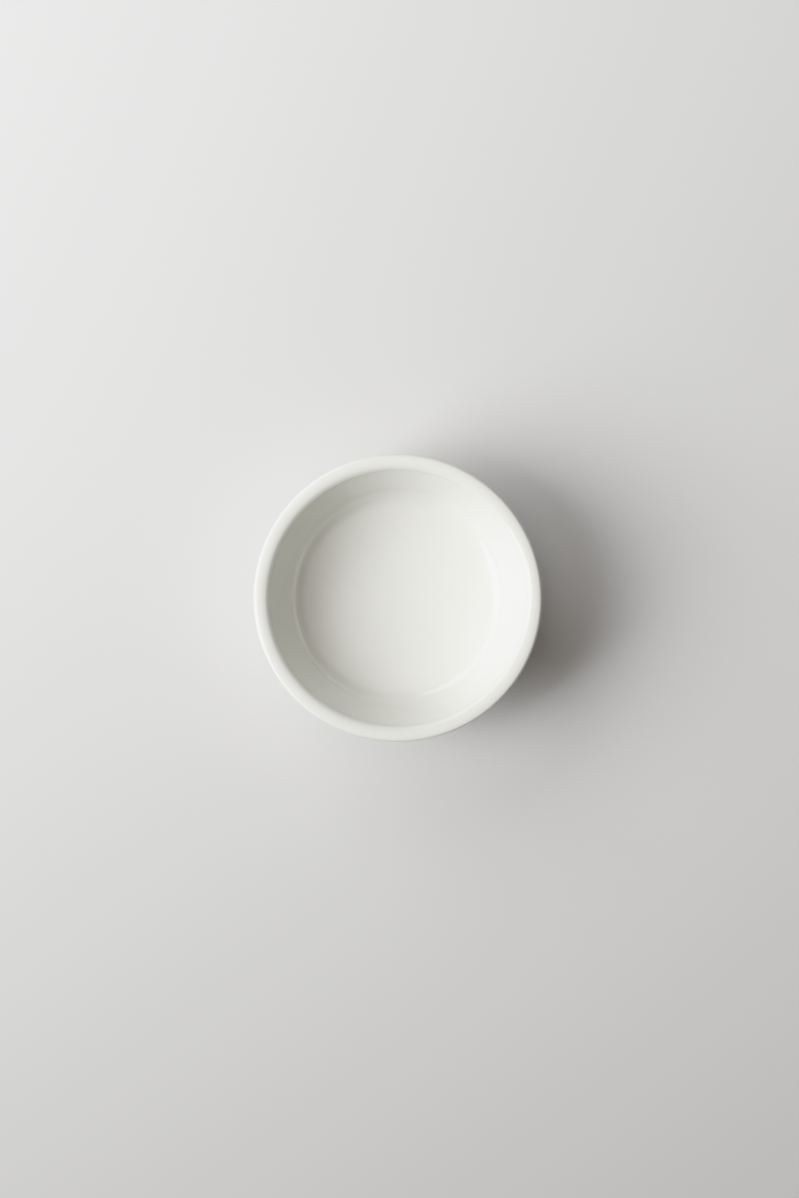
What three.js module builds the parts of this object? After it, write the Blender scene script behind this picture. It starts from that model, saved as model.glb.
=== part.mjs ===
// Flat-bottomed evaporating dish in laboratory porcelain, millimetres, +Z up.
// The origin is the centre of the foot ring, on the surface that the dish stands on.
//
// The dish is one fired porcelain body with a glaze fused over its inside, its rolled rim and its outer
// wall. The glaze stops at the heel, so the foot ring and the underside are bare porcelain.
// Every size is a finished one, measured over the glaze. The body lies under the glaze by the glaze's
// thickness, so both solids are cut from one section, taken at different depths below its skin.

import * as THREE from "three";

// Overall sizes
const RIM_RADIUS = 45; // outermost point of the rim
const HEIGHT = 35; // foot to the crest of the rim

// Rim: a nearly flat crown that rolls over on both sides
const RIM_WIDTH = 5;
const RIM_CREST = 1.8; // how far the crest lies in from the rim's outermost point
const RIM_CROWN = 6; // radius of the crown
const RIM_ROLL_OUTSIDE = 1;
const RIM_ROLL_INSIDE = 2;
const RIM_OVERHANG = 0.7; // how far the rim stands in front of the wall's inner face
const NECK_INSIDE = 0.5; // hollow fillet between rim and inner face
const NECK_OUTSIDE = 1.6; // hollow fillet between rim and outer face

// Wall and floor
const WALL = 3; // wall thickness, measured square to the wall
const WALL_LEAN = 20; // degrees that the wall leans out from upright
const CORNER_FILLET = 6; // rounds the wall's inner face into the floor
const FLOOR = 5; // floor thickness
const HEEL_FILLET = 6; // rounds the outer wall into the underside

// Foot ring
const FOOT_INSET = 0.8; // the ring starts this far inside the heel fillet
const FOOT_WIDTH = 4.4; // where the ring leaves the underside
const FOOT_HEIGHT = 7;
const FOOT_TAPER = 0.5; // how far each side of the ring leans in on its way down
const FOOT_CHAMFER = 0.4;

// Glaze
const GLAZE = 0.3; // thickness of the glaze
const GLAZE_GAP = 0.02; // clearance between the two solids, which are fused in the real dish

// Facets
const TURN_STEPS = 64; // around the axis
const FILLET_STEPS = 4;
const NECK_STEPS = 2;
const ROLL_STEPS = 4;
const CROWN_STEPS = 1; // on each side of the crest

// The section's fixed points, as (radius, height). An arc keeps its centre at every depth below the
// skin: only its radius changes, so the glaze and the body stay parallel.
const floorTop = FOOT_HEIGHT + FLOOR;
const crown = new THREE.Vector2(RIM_RADIUS - RIM_CREST, HEIGHT - RIM_CROWN);

// Angle from upright, outwards or inwards, at which the crown gives way to a roll.
function crownEdge(roll, reach) {
  return Math.asin((reach - roll) / (RIM_CROWN - roll));
}

const edgeOutside = crownEdge(RIM_ROLL_OUTSIDE, RIM_CREST);
const edgeInside = crownEdge(RIM_ROLL_INSIDE, RIM_WIDTH - RIM_CREST);
const rollOutside = polar(crown, RIM_CROWN - RIM_ROLL_OUTSIDE, Math.PI / 2 - edgeOutside);
const rollInside = polar(crown, RIM_CROWN - RIM_ROLL_INSIDE, Math.PI / 2 + edgeInside);

// The wall's inner face runs down from beside the inside roll to the floor corner.
const lean = THREE.MathUtils.degToRad(WALL_LEAN);
const wallTop = new THREE.Vector2(RIM_RADIUS - RIM_WIDTH + RIM_OVERHANG, rollInside.y);
const wallUp = new THREE.Vector2(Math.sin(lean), Math.cos(lean));
const corner = wallTop.clone().addScaledVector(wallUp, (floorTop - wallTop.y) / wallUp.y);
const wallIn = new THREE.Vector2(-wallUp.y, wallUp.x); // square to the wall, towards the axis
const wallOut = wallIn.clone().negate();
const outerFace = corner.clone().addScaledVector(wallOut, WALL);
const inAngle = wallIn.angle();
const outAngle = wallOut.angle() - 2 * Math.PI;

// Point at a distance and an angle from a centre.
function polar(centre, radius, angle) {
  return new THREE.Vector2(centre.x + radius * Math.cos(angle), centre.y + radius * Math.sin(angle));
}

// Centre of a fillet that touches the floor or underside at one height and the wall face on one side.
// facePoint is on the face, square is the face's direction towards the fillet's centre.
function filletCentre(facePoint, square, radius, centreHeight) {
  const along = (centreHeight - facePoint.y - square.y * radius) / wallUp.y;
  return facePoint.clone().addScaledVector(square, radius).addScaledVector(wallUp, along);
}

// Centre of the hollow fillet that touches a roll of the rim from outside and the wall face beside it.
function neckCentre(facePoint, square, radius, rollCentre, roll) {
  const base = facePoint.clone().addScaledVector(square, radius);
  const toRoll = rollCentre.clone().sub(base);
  const along = toRoll.dot(wallUp);
  const aside = toRoll.dot(square);
  const reach = roll + radius;
  return base.addScaledVector(wallUp, along - Math.sqrt(reach * reach - aside * aside));
}

const cornerCentre = filletCentre(corner, wallIn, CORNER_FILLET, floorTop + CORNER_FILLET);
const heelCentre = filletCentre(outerFace, wallIn, HEEL_FILLET, FOOT_HEIGHT + HEEL_FILLET);
const neckInside = neckCentre(corner, wallIn, NECK_INSIDE, rollInside, RIM_ROLL_INSIDE);
const neckOutside = neckCentre(outerFace, wallOut, NECK_OUTSIDE, rollOutside, RIM_ROLL_OUTSIDE);
const footOutside = heelCentre.x - FOOT_INSET;

// Points along an arc, from one angle to another, both ends included.
function arc(centre, radius, from, to, steps) {
  return Array.from({ length: steps + 1 }, (_, i) => polar(centre, radius, from + ((to - from) * i) / steps));
}

// The glazed skin at a depth below the finished surface, from the underside at the heel, up the outer
// wall, over the rim, down the inner wall and across the floor to the axis.
function skin(depth) {
  const top = Math.PI / 2;
  const fromNeck = neckOutside.clone().sub(rollOutside).angle() - 2 * Math.PI;
  const toNeck = neckInside.clone().sub(rollInside).angle();
  return [
    ...arc(heelCentre, HEEL_FILLET - depth, -top, outAngle, FILLET_STEPS),
    ...arc(neckOutside, NECK_OUTSIDE + depth, outAngle + Math.PI, fromNeck + Math.PI, NECK_STEPS),
    ...arc(rollOutside, RIM_ROLL_OUTSIDE - depth, fromNeck, top - edgeOutside, ROLL_STEPS).slice(1),
    ...arc(crown, RIM_CROWN - depth, top - edgeOutside, top, CROWN_STEPS).slice(1),
    ...arc(crown, RIM_CROWN - depth, top, top + edgeInside, CROWN_STEPS).slice(1),
    ...arc(rollInside, RIM_ROLL_INSIDE - depth, top + edgeInside, toNeck, ROLL_STEPS).slice(1),
    ...arc(neckInside, NECK_INSIDE + depth, toNeck - Math.PI, inAngle - Math.PI, NECK_STEPS).slice(1),
    ...arc(cornerCentre, CORNER_FILLET + depth, inAngle - Math.PI, -top, FILLET_STEPS),
    new THREE.Vector2(0, floorTop - depth),
  ];
}

// A closed section turned about the dish's axis.
function turned(name, section, material) {
  const mesh = new THREE.Mesh(new THREE.LatheGeometry(section, TURN_STEPS), material);
  mesh.name = name;
  mesh.rotation.x = Math.PI / 2;
  return mesh;
}

// Fired body: the bare underside and foot ring, then the skin that the glaze covers.
function porcelainBody() {
  const depth = GLAZE + GLAZE_GAP;
  const footInside = footOutside - FOOT_WIDTH;
  const foot = [
    new THREE.Vector2(0, FOOT_HEIGHT),
    new THREE.Vector2(footInside, FOOT_HEIGHT),
    new THREE.Vector2(footInside + FOOT_TAPER, FOOT_CHAMFER),
    new THREE.Vector2(footInside + FOOT_TAPER + FOOT_CHAMFER, 0),
    new THREE.Vector2(footOutside - FOOT_TAPER - FOOT_CHAMFER, 0),
    new THREE.Vector2(footOutside - FOOT_TAPER, FOOT_CHAMFER),
    new THREE.Vector2(footOutside, FOOT_HEIGHT + depth),
  ];
  const biscuit = new THREE.MeshStandardMaterial({ color: 0xe6e2d8, roughness: 0.85, metalness: 0 });
  return turned("porcelain_body", [...foot, ...skin(depth)], biscuit);
}

// Glaze: the glassy layer between the finished surface and the body.
function glazeCoat() {
  const gloss = new THREE.MeshStandardMaterial({ color: 0xe4e6dd, roughness: 0.15, metalness: 0 });
  return turned("glaze_coat", [...skin(GLAZE).reverse(), ...skin(0)], gloss);
}

const dish = new THREE.Group();
dish.add(porcelainBody(), glazeCoat());

export default dish;
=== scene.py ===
import math

import bpy
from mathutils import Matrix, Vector


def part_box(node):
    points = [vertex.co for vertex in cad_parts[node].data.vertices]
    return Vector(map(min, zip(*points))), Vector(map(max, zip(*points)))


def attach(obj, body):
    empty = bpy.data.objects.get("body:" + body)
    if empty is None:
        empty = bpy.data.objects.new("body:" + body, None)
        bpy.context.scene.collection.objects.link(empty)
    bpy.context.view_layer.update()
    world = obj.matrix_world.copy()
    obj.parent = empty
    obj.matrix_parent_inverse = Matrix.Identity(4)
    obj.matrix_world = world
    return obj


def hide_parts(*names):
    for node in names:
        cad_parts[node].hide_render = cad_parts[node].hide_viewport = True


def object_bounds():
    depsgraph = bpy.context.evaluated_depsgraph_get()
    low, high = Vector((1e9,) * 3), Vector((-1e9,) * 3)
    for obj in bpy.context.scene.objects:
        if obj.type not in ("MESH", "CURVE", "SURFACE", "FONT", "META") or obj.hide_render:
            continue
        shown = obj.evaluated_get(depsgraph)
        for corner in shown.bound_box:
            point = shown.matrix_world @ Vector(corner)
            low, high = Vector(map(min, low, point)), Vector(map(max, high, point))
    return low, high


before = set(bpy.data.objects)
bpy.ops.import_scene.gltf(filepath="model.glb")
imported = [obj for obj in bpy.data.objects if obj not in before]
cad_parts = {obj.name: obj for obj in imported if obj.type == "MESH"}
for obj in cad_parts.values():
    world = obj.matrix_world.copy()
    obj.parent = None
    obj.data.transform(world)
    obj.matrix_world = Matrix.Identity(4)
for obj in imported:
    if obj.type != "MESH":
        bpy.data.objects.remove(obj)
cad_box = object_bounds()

# The porcelain body is hard porcelain, jiggered over a plaster mould and fired. It carries the whole
# shape: the floor, the steep wall, the rolled rim and a foot ring that is trimmed on the wheel. The
# foot ring and the underside stay bare, as a fine, slightly sandy biscuit. Its sizes are millimetres.
MM = 0.001
rim_radius = round(cad_box[1][0] / MM, 1)
height = round(cad_box[1][2] / MM, 1)
rim_width = 5.0
rim_crest = 1.8
rim_crown = 6.0
roll_outside = 1.0
roll_inside = 2.0
rim_overhang = 0.7
neck_inside = 0.5
neck_outside = 1.6
wall = 3.0
wall_lean = math.radians(20.0)
corner_fillet = 6.0
floor_thickness = 5.0
heel_fillet = 6.0
foot_inset = 0.8
foot_width = 4.4
foot_height = round(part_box("glaze_coat")[0][2] / MM, 1)
foot_taper = 0.5
foot_round = 0.5
foot_shoulder = 0.6
recess_fillet = 1.0
glaze_thickness = 0.3
glaze_gap = 0.02

around = 256
heel_steps = 14
neck_steps = 6
roll_steps = 14
crest_steps = 10
wall_steps = 10
fillet_steps = 24
floor_steps = 16
underside_steps = 14
foot_steps = 6
foot_round_steps = 5
shoulder_steps = 4
quarter = math.pi / 2


def along(point, direction, length):
    return (point[0] + direction[0] * length, point[1] + direction[1] * length)


def polar(centre, radius, angle):
    return (centre[0] + radius * math.cos(angle), centre[1] + radius * math.sin(angle))


def bearing(start, end):
    return math.atan2(end[1] - start[1], end[0] - start[0])


floor_top = foot_height + floor_thickness
crown = (rim_radius - rim_crest, height - rim_crown)
edge_outside = math.asin((rim_crest - roll_outside) / (rim_crown - roll_outside))
edge_inside = math.asin((rim_width - rim_crest - roll_inside) / (rim_crown - roll_inside))
outer_roll = polar(crown, rim_crown - roll_outside, quarter - edge_outside)
inner_roll = polar(crown, rim_crown - roll_inside, quarter + edge_inside)
wall_up = (math.sin(wall_lean), math.cos(wall_lean))
wall_in = (-wall_up[1], wall_up[0])
wall_out = (wall_up[1], -wall_up[0])
wall_top = (rim_radius - rim_width + rim_overhang, inner_roll[1])
corner = along(wall_top, wall_up, (floor_top - wall_top[1]) / wall_up[1])
outer_face = along(corner, wall_out, wall)


def fillet_centre(face_point, radius, centre_height):
    """Centre of a fillet on the inner side of a wall face, at a given height."""
    start = along(face_point, wall_in, radius)
    return along(start, wall_up, (centre_height - start[1]) / wall_up[1])


def neck_centre(face_point, square, radius, roll_centre, roll):
    """Centre of the hollow fillet that touches a roll of the rim and the wall face under it."""
    start = along(face_point, square, radius)
    to_roll = (roll_centre[0] - start[0], roll_centre[1] - start[1])
    forward = to_roll[0] * wall_up[0] + to_roll[1] * wall_up[1]
    aside = to_roll[0] * square[0] + to_roll[1] * square[1]
    return along(start, wall_up, forward - math.sqrt((roll + radius) ** 2 - aside ** 2))


corner_centre = fillet_centre(corner, corner_fillet, floor_top + corner_fillet)
heel_centre = fillet_centre(outer_face, heel_fillet, foot_height + heel_fillet)
inner_neck = neck_centre(corner, wall_in, neck_inside, inner_roll, roll_inside)
outer_neck = neck_centre(outer_face, wall_out, neck_outside, outer_roll, roll_outside)


def arc(centre, radius, start, end, steps):
    return [polar(centre, radius, start + (end - start) * i / steps) for i in range(steps + 1)]


def straight(start, end, steps):
    """Points between two ends of a straight stretch, the ends left out."""
    reach = (end[0] - start[0], end[1] - start[1])
    return [along(start, reach, i / steps) for i in range(1, steps)]


def skin(depth):
    """Section of the glazed skin at a depth, from the underside over the rim to the floor's centre."""
    inside = math.atan2(wall_in[1], wall_in[0])
    outside = math.atan2(wall_out[1], wall_out[0])
    from_neck = bearing(outer_roll, outer_neck)
    to_neck = bearing(inner_roll, inner_neck) % (2 * math.pi)
    heel = arc(heel_centre, heel_fillet - depth, -quarter, outside, heel_steps)
    neck_up = arc(outer_neck, neck_outside + depth, outside + math.pi, from_neck + math.pi, neck_steps)
    roll_up = arc(outer_roll, roll_outside - depth, from_neck, quarter - edge_outside, roll_steps)
    crest = arc(crown, rim_crown - depth, quarter - edge_outside, quarter + edge_inside, crest_steps)
    roll_down = arc(inner_roll, roll_inside - depth, quarter + edge_inside, to_neck, roll_steps)
    neck_down = arc(inner_neck, neck_inside + depth, to_neck - math.pi, inside - math.pi, neck_steps)
    fillet = arc(corner_centre, corner_fillet + depth, inside - math.pi, -quarter, fillet_steps)
    centre = (0.0, floor_top - depth)
    outer_wall = straight(heel[-1], neck_up[0], wall_steps)
    inner_wall = straight(neck_down[-1], fillet[0], wall_steps)
    floor = straight(fillet[-1], centre, floor_steps)
    rim = roll_up[1:] + crest[1:] + roll_down[1:] + neck_down[1:]
    return heel + outer_wall + neck_up + rim + inner_wall + fillet + floor + [centre]


def bare_foot(depth):
    """Section of the bare underside and foot ring, from the axis out to the skin at a depth."""
    outside = heel_centre[0] - foot_inset
    inside = outside - foot_width
    middle = (0.0, foot_height)
    edge = (inside - recess_fillet, foot_height)
    underside = [middle] + straight(middle, edge, underside_steps) + [edge]
    recess_centre = (edge[0], foot_height - recess_fillet)
    recess = arc(recess_centre, recess_fillet, quarter, 0.0, foot_round_steps)[1:]
    inner_round = (inside + foot_taper + foot_round, foot_round)
    outer_round = (outside - foot_taper - foot_round, foot_round)
    contact = arc(inner_round, foot_round, math.pi, 1.5 * math.pi, foot_round_steps)
    contact += arc(outer_round, foot_round, -quarter, 0.0, foot_round_steps)
    inner_side = straight(recess[-1], contact[0], foot_steps)
    side_top = (outside, foot_height - foot_shoulder)
    outer_side = straight(contact[-1], side_top, foot_steps) + [side_top]
    shoulder_centre = (outside + foot_round, foot_height + depth - foot_round)
    shoulder = arc(shoulder_centre, foot_round, math.pi, quarter, shoulder_steps)
    return underside + recess + inner_side + contact + outer_side + shoulder


def kiln(r, z, turn):
    """Where firing takes a point: the rim goes a few hundredths of a millimetre out of true."""
    lift = (z / height) ** 2
    spread = 0.05 * math.cos(2 * turn + 0.6) + 0.03 * math.cos(3 * turn + 2.1) - 0.08
    rise = 0.04 * math.cos(2 * turn - 0.9) + 0.02 * math.cos(5 * turn) - 0.06
    return r + lift * spread * r / rim_radius, z + lift * rise


def turned(name, section, shape):
    """A closed section turned about the dish's axis into one smooth solid, each point moved by a shape."""
    points = []
    rings = []
    for r, z in section:
        if r == 0.0:
            rings.append([len(points)])
            points.append((0.0, 0.0, z * MM))
            continue
        ring = []
        for i in range(around):
            turn = 2 * math.pi * i / around
            real_r, real_z = shape(r, z, turn)
            ring.append(len(points))
            points.append((real_r * math.cos(turn) * MM, real_r * math.sin(turn) * MM, real_z * MM))
        rings.append(ring)
    faces = []
    for low, high in zip(rings, rings[1:]):
        for i in range(around):
            j = (i + 1) % around
            if len(low) == 1:
                faces.append((low[0], high[j], high[i]))
            elif len(high) == 1:
                faces.append((low[i], low[j], high[0]))
            else:
                faces.append((low[i], low[j], high[j], high[i]))
    mesh = bpy.data.meshes.new(name)
    mesh.from_pydata(points, [], faces)
    mesh.validate()
    mesh.update()
    mesh.polygons.foreach_set("use_smooth", [True] * len(mesh.polygons))
    piece = bpy.data.objects.new(name, mesh)
    bpy.context.scene.collection.objects.link(piece)
    return piece


body_depth = glaze_thickness + glaze_gap
porcelain_body = turned("porcelain_body_biscuit", bare_foot(body_depth) + skin(body_depth), kiln)


class Finish:
    """A surface made of nodes."""

    def __init__(self, name):
        self.material = bpy.data.materials.new(name)
        self.material.use_nodes = True
        self.nodes = self.material.node_tree.nodes
        self.links = self.material.node_tree.links
        self.shader = self.nodes["Principled BSDF"]

    def plug(self, socket, source):
        """Feeds a socket from another node, or gives it a value of its own."""
        if isinstance(source, bpy.types.NodeSocket):
            self.links.new(source, socket)
        else:
            socket.default_value = source

    def add(self, kind, feeds, **settings):
        """Adds one node, with its settings and what its sockets are fed."""
        node = self.nodes.new(kind)
        for setting, value in settings.items():
            setattr(node, setting, value)
        for socket, source in feeds.items():
            self.plug(node.inputs[socket], source)
        return node

    def feed(self, socket, source):
        self.plug(self.shader.inputs[socket], source)


def place(finish):
    return finish.add("ShaderNodeTexCoord", {}).outputs["Object"]


def noise(finish, where, scale, detail, roughness=0.5):
    feeds = {"Vector": where, "Scale": scale, "Detail": detail, "Roughness": roughness}
    return finish.add("ShaderNodeTexNoise", feeds).outputs["Fac"]


def span(finish, value, low, high, to_low, to_high):
    """A value carried over from one range to another, and held at its ends."""
    feeds = {"Value": value, "From Min": low, "From Max": high, "To Min": to_low, "To Max": to_high}
    return finish.add("ShaderNodeMapRange", feeds).outputs["Result"]


def maths(finish, operation, a, b=0.0):
    return finish.add("ShaderNodeMath", {0: a, 1: b}, operation=operation).outputs["Value"]


def tint(finish, amount, a, b):
    """A mix of two colours, which the node takes at its sockets 6 and 7."""
    return finish.add("ShaderNodeMix", {"Factor": amount, 6: a, 7: b}, data_type="RGBA").outputs[2]


def bumps(finish, height_map, distance, strength, under=None):
    feeds = {"Strength": strength, "Distance": distance, "Height": height_map}
    if under is not None:
        feeds["Normal"] = under
    return finish.add("ShaderNodeBump", feeds).outputs["Normal"]


clay_deep = (0.80, 0.775, 0.715, 1.0)
clay_pale = (0.86, 0.84, 0.79, 1.0)
clay_grain = (0.70, 0.67, 0.60, 1.0)
scuff_grey = (0.50, 0.49, 0.46, 1.0)
scuff_height = 0.6 * MM
turning_radians_per_metre = 7200.0

biscuit = Finish("bare porcelain biscuit")
spot = place(biscuit)
axes = biscuit.add("ShaderNodeSeparateXYZ", {0: spot})
x_squared = maths(biscuit, "POWER", axes.outputs["X"], 2.0)
y_squared = maths(biscuit, "POWER", axes.outputs["Y"], 2.0)
reach = maths(biscuit, "SQRT", maths(biscuit, "ADD", x_squared, y_squared))
trimming = maths(biscuit, "SINE", maths(biscuit, "MULTIPLY", reach, turning_radians_per_metre))
cloud = noise(biscuit, spot, 90.0, 4.0)
grain = noise(biscuit, spot, 2600.0, 2.0, 0.7)
worn = span(biscuit, axes.outputs["Z"], 0.0, scuff_height, 1.0, 0.0)
patches = span(biscuit, noise(biscuit, spot, 420.0, 5.0), 0.45, 0.6, 0.0, 0.6)
clay = tint(biscuit, cloud, clay_deep, clay_pale)
clay = tint(biscuit, span(biscuit, grain, 0.3, 0.7, 0.0, 0.18), clay, clay_grain)
clay = tint(biscuit, maths(biscuit, "MULTIPLY", worn, patches), clay, scuff_grey)
biscuit.feed("Base Color", clay)
biscuit.feed("Roughness", span(biscuit, grain, 0.3, 0.7, 0.78, 0.93))
biscuit.feed("Specular IOR Level", 0.35)
turning = bumps(biscuit, trimming, 0.03 * MM, 0.6)
biscuit.feed("Normal", bumps(biscuit, grain, 0.06 * MM, 0.8, turning))
porcelain_body.data.materials.append(biscuit.material)

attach(porcelain_body, "root")
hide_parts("porcelain_body")

# The glaze coat is a feldspar glaze, about 0.3 mm thick, fused over the inside, the rolled rim and the
# outer wall. It is off-white with a trace of green, and has a soft gloss. It ends at the heel, in a
# slightly wandering line where it was wiped back before firing.
wiped_band = 1.2
wiped_back = 0.22


def glaze_line(r, z, turn):
    """Firing, and the wander of the glaze's edge round the heel."""
    real_r, real_z = kiln(r, z, turn)
    edge = 1.0 - (z - foot_height) / wiped_band
    if edge <= 0.0:
        return real_r, real_z
    wander = 0.10 * math.cos(7 * turn + 1.0) + 0.07 * math.cos(12 * turn)
    wander += 0.05 * math.cos(23 * turn + 2.0)
    swing = edge * (wiped_back + wander) / heel_fillet
    from_centre = math.hypot(real_r - heel_centre[0], real_z - heel_centre[1])
    return polar(heel_centre, from_centre, bearing(heel_centre, (real_r, real_z)) + swing)


glaze_coat = turned("glaze_coat_skin", skin(glaze_thickness)[::-1] + skin(0.0), glaze_line)

milk_thin = (0.781, 0.789, 0.733, 1.0)
milk_pooled = (0.806, 0.814, 0.762, 1.0)
milk_mottle = (0.745, 0.752, 0.688, 1.0)
iron_speck = (0.42, 0.38, 0.30, 1.0)
speck_cells_per_metre = 210.0
wiping_scale = (90.0, 2600.0, 90.0)
wiping_turn = (0.0, 0.0, 0.7)

glaze = Finish("off-white porcelain glaze")
spot = place(glaze)
pooling = noise(glaze, spot, 55.0, 4.0, 0.55)
mottle = noise(glaze, spot, 320.0, 3.0)
orange_peel = noise(glaze, spot, 240.0, 2.0, 0.45)
satin = noise(glaze, spot, 3200.0, 2.0, 0.6)
cells = glaze.add("ShaderNodeTexVoronoi", {"Vector": spot, "Scale": speck_cells_per_metre})
chance = glaze.add("ShaderNodeSeparateColor", {0: cells.outputs["Color"]}).outputs["Red"]
few = span(glaze, chance, 0.90, 0.92, 0.0, 1.0)
dot = span(glaze, cells.outputs["Distance"], 0.012, 0.035, 0.55, 0.0)
milk = tint(glaze, span(glaze, pooling, 0.3, 0.7, 0.0, 1.0), milk_thin, milk_pooled)
milk = tint(glaze, span(glaze, mottle, 0.35, 0.75, 0.0, 0.12), milk, milk_mottle)
milk = tint(glaze, maths(glaze, "MULTIPLY", few, dot), milk, iron_speck)
glaze.feed("Base Color", milk)
wiping = {"Vector": spot, "Scale": wiping_scale, "Rotation": wiping_turn}
hairlines = noise(glaze, glaze.add("ShaderNodeMapping", wiping).outputs["Vector"], 1.0, 3.0, 0.6)
softness = span(glaze, satin, 0.3, 0.7, 0.08, 0.14)
scratched = span(glaze, hairlines, 0.62, 0.75, 0.0, 0.06)
glaze.feed("Roughness", maths(glaze, "ADD", softness, scratched))
glaze.feed("Specular IOR Level", 0.5)
peel = bumps(glaze, orange_peel, 0.12 * MM, 0.35)
glaze.feed("Normal", bumps(glaze, satin, 0.01 * MM, 0.5, peel))
glaze_coat.data.materials.append(glaze.material)

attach(glaze_coat, "root")
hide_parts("glaze_coat")

# The dish stands on a round, matt white table in a plain pale room. A wide soft window lights it from
# the left, and light off the ceiling and off the far wall fills the shadows. The camera looks straight
# down, from about a metre. The sizes here are metres.
table_radius = 1.8
bpy.ops.mesh.primitive_circle_add(vertices=around, radius=table_radius, fill_type="NGON")
table = bpy.context.object
table.name = "table"
paper = Finish("matt white table")
paper.feed("Base Color", (0.64, 0.64, 0.64, 1.0))
paper.feed("Roughness", 0.7)
paper.feed("Specular IOR Level", 0.2)
table.data.materials.append(paper.material)

# The room is only a backdrop: the lights below do all the lighting.
room = bpy.data.worlds.new("pale room")
bpy.context.scene.world = room
room.use_nodes = True
backdrop = room.node_tree.nodes["Background"]
backdrop.inputs["Color"].default_value = (1.0, 1.0, 1.0, 1.0)
backdrop.inputs["Strength"].default_value = 0.42
room.cycles_visibility.diffuse = False
room.cycles_visibility.glossy = False
room.cycles_visibility.transmission = False
room.cycles_visibility.scatter = False


def face(holder, target):
    holder.rotation_euler = (holder.location - Vector(target)).to_track_quat("Z", "Y").to_euler()


def soft_light(name, turn, rise, distance, wide, tall, power):
    """A rectangular light that faces the dish, placed by its bearing and height angle in degrees."""
    lamp = bpy.data.lights.new(name, "AREA")
    lamp.shape = "RECTANGLE"
    lamp.size = wide
    lamp.size_y = tall
    lamp.energy = power
    lamp.spread = math.pi
    holder = bpy.data.objects.new(name, lamp)
    bpy.context.scene.collection.objects.link(holder)
    turn = math.radians(turn)
    rise = math.radians(rise)
    level = distance * math.cos(rise)
    holder.location = (level * math.cos(turn), level * math.sin(turn), distance * math.sin(rise))
    face(holder, (0.0, 0.0, 0.0))
    return holder


window = soft_light("window", turn=170.6, rise=31.2, distance=1.506, wide=1.753, tall=0.908, power=18.7)
window.data.spread = math.radians(141.0)
face(window, (-0.51, 1.385, 0.0))
ceiling = soft_light("ceiling bounce", turn=1.5, rise=87.0, distance=2.0, wide=1.4, tall=1.4, power=2.79)
ceiling.data.color = (1.09, 0.985, 0.90)
soft_light("far wall", turn=132.0, rise=35.1, distance=2.0, wide=1.6, tall=1.0, power=7.44)

camera_data = bpy.data.cameras.new("overhead camera")
camera_data.lens = 100.0
camera_data.sensor_width = 36.0
camera_data.clip_start = 0.01
camera = bpy.data.objects.new("overhead camera", camera_data)
bpy.context.scene.collection.objects.link(camera)
camera.location = (0.0005, -0.0003, 1.0715)
bpy.context.scene.camera = camera

# The tone curve lifts the middle tones and holds the whites under a soft ceiling.
lift = 1.28
knee = 0.65
ceiling_room = 0.125
brightest = 1.4


def toned(light):
    """How pale a surface comes out: lifted below the knee, and held under the ceiling above it."""
    start = knee * (1 + lift) / (1 + lift * knee)
    slope = (1 + lift) / (1 + lift * knee) ** 2
    if light < knee:
        return light * (1 + lift) / (1 + lift * light)
    return start + ceiling_room * (1 - math.exp((knee - light) * slope / ceiling_room))


look = bpy.context.scene.view_settings
look.view_transform = "Standard"
look.use_curve_mapping = True
tone = look.curve_mapping.curves[3]
for step in (0.03, 0.08, 0.16, 0.26, 0.38, 0.46, 0.54, 0.62, 0.72, 0.85):
    tone.points.new(step, toned(step * brightest))
tone.points[-1].location = (1.0, toned(brightest))
look.curve_mapping.update()
